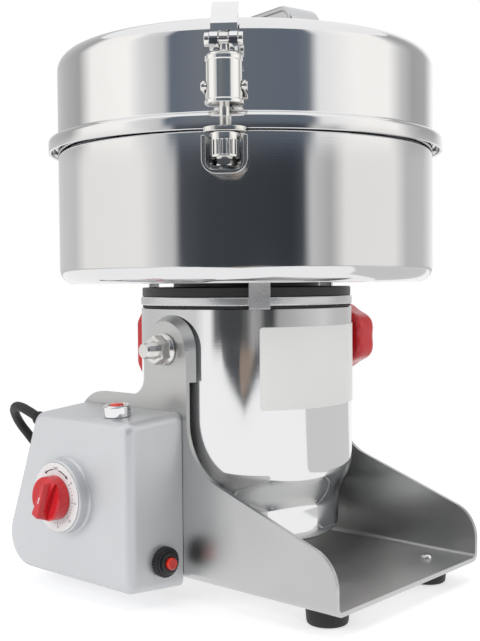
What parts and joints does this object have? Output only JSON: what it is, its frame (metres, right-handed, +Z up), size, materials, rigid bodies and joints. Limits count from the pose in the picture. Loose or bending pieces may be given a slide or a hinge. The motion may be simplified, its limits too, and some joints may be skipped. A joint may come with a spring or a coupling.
{
  "type": "hammer mill",
  "caption": "Tilting swing hammer mill: lidded round grinding bowl on a vertical motor, pivoted in a U-shaped steel frame with a timer box and over-centre lid clamp.",
  "frame": {"origin": "centre of the mill's footprint box, on the surface that its feet stand on", "axes": "+Z up along the motor shaft, -Y towards the open discharge side, -X towards the control box"},
  "size_m": [0.317, 0.4047, 0.3997],
  "materials": {
    "polished_steel": "mirror polished stainless steel",
    "satin_steel": "ground steel",
    "satin_alloy": "satin cast alloy",
    "frame_steel": "satin silver steel sheet",
    "box_silver": "matt silver cast alloy",
    "zinc": "bright zinc plate",
    "chrome": "bright chrome plate",
    "iron_core": "lacquered core and windings",
    "black_plastic": "moulded black plastic",
    "black_rubber": "black rubber",
    "white_rubber": "white silicone",
    "red_plastic": "moulded red plastic",
    "dial_white": "printed white dial plate",
    "label_white": "blank paper label"
  },
  "bodies": {
    "frame": {"base_frame": "frame_steel", "foot_front_left": "black_rubber", "foot_front_right": "black_rubber", "foot_rear_left": "black_rubber", "foot_rear_right": "black_rubber", "control_box": "box_silver", "dial_plate": "dial_white", "timer_body": "black_plastic", "lamp_bezel": "chrome", "lamp_lens": "red_plastic", "breaker_body": "black_plastic", "breaker_nut": "black_plastic", "switch_body": "black_plastic", "cord_gland": "black_rubber", "mains_cord": "black_rubber", "cord_coil": "black_rubber", "mains_plug": "black_plastic"},
    "timer_knob": {"timer_knob": "red_plastic"},
    "breaker_button": {"breaker_button": "red_plastic"},
    "switch_rocker": {"switch_rocker": "black_plastic"},
    "mill": {"motor_shell": "polished_steel", "motor_bottom_cover": "black_plastic", "label_plate": "label_white", "gap_gasket": "black_rubber", "end_bell": "satin_alloy", "vent_ring": "black_plastic", "stator_core": "iron_core", "upper_bearing": "polished_steel", "lower_bearing": "polished_steel", "grinding_bowl": "polished_steel", "shaft_seal": "black_rubber", "pivot_lug_left": "satin_steel", "pivot_lug_right": "satin_steel", "pivot_stud_left": "zinc", "pivot_nut_left": "zinc", "lock_stud": "zinc", "rear_grip": "red_plastic", "bowl_hinge_leaf": "zinc", "clamp_catch": "zinc"},
    "lock_knob": {"lock_knob": "red_plastic"},
    "rotor": {"motor_shaft": "satin_steel", "armature": "iron_core", "cooling_fan": "black_plastic", "lower_blade": "satin_steel", "blade_spacer": "satin_steel", "upper_blade": "satin_steel", "blade_nut": "zinc"},
    "lid": {"lid_shell": "polished_steel", "lid_gasket": "white_rubber", "lid_handle": "chrome", "lid_hinge_leaf": "zinc", "hinge_pin": "zinc", "clamp_bracket": "zinc"},
    "clamp": {"clamp_barrel": "zinc", "draw_bolt": "zinc", "catch_plate": "zinc"},
    "adjusting_nut": {"adjusting_nut": "zinc"},
    "lever": {"clamp_lever": "zinc", "cam_pin": "zinc"}
  },
  "joints": [
    {"name": "body_tilt", "type": "hinge", "parent": "frame", "child": "mill", "pos_m": [0.0059, 0.00065, 0.1679], "axis": [1, 0, 0], "range_deg": [-30, 75]},
    {"name": "lock_knob_turn", "type": "hinge", "parent": "mill", "child": "lock_knob", "pos_m": [0.1259, 0.00065, 0.1679], "axis": [1, 0, 0], "range_deg": [0, 360]},
    {"name": "rotor_spin", "type": "hinge", "parent": "mill", "child": "rotor", "pos_m": [0.0059, 0.00065, 0.2126], "axis": [0, 0, 1], "continuous": true},
    {"name": "lid_open", "type": "hinge", "parent": "mill", "child": "lid", "pos_m": [0.12617, 0.09029, 0.3104], "axis": [-0.5976, 0.8018, 0], "range_deg": [0, 105]},
    {"name": "clamp_swing", "type": "hinge", "parent": "lid", "child": "clamp", "pos_m": [-0.11437, -0.08899, 0.3281], "axis": [-0.5976, 0.8018, 0], "range_deg": [0, 10]},
    {"name": "nut_turn", "type": "hinge", "parent": "clamp", "child": "adjusting_nut", "pos_m": [-0.11437, -0.08899, 0.2934], "axis": [0, 0, 1], "continuous": true},
    {"name": "lever_throw", "type": "hinge", "parent": "clamp", "child": "lever", "pos_m": [-0.11437, -0.08899, 0.3554], "axis": [0.5976, -0.8018, 0], "range_deg": [0, 115]},
    {"name": "timer_turn", "type": "hinge", "parent": "frame", "child": "timer_knob", "pos_m": [-0.1324, 0.05065, 0.0694], "axis": [1, 0, 0], "range_deg": [0, 300]},
    {"name": "breaker_press", "type": "slide", "parent": "frame", "child": "breaker_button", "axis": [0.0702, 0.9975, 0], "range_m": [0, 0.003], "stiffness_N_per_m": 300, "springref_m": -0.001},
    {"name": "switch_rock", "type": "hinge", "parent": "frame", "child": "switch_rocker", "pos_m": [-0.1001, 0.11199, 0.05686], "axis": [-0.9975, -0.0654, -0.0253], "range_deg": [0, 16]}
  ]
}
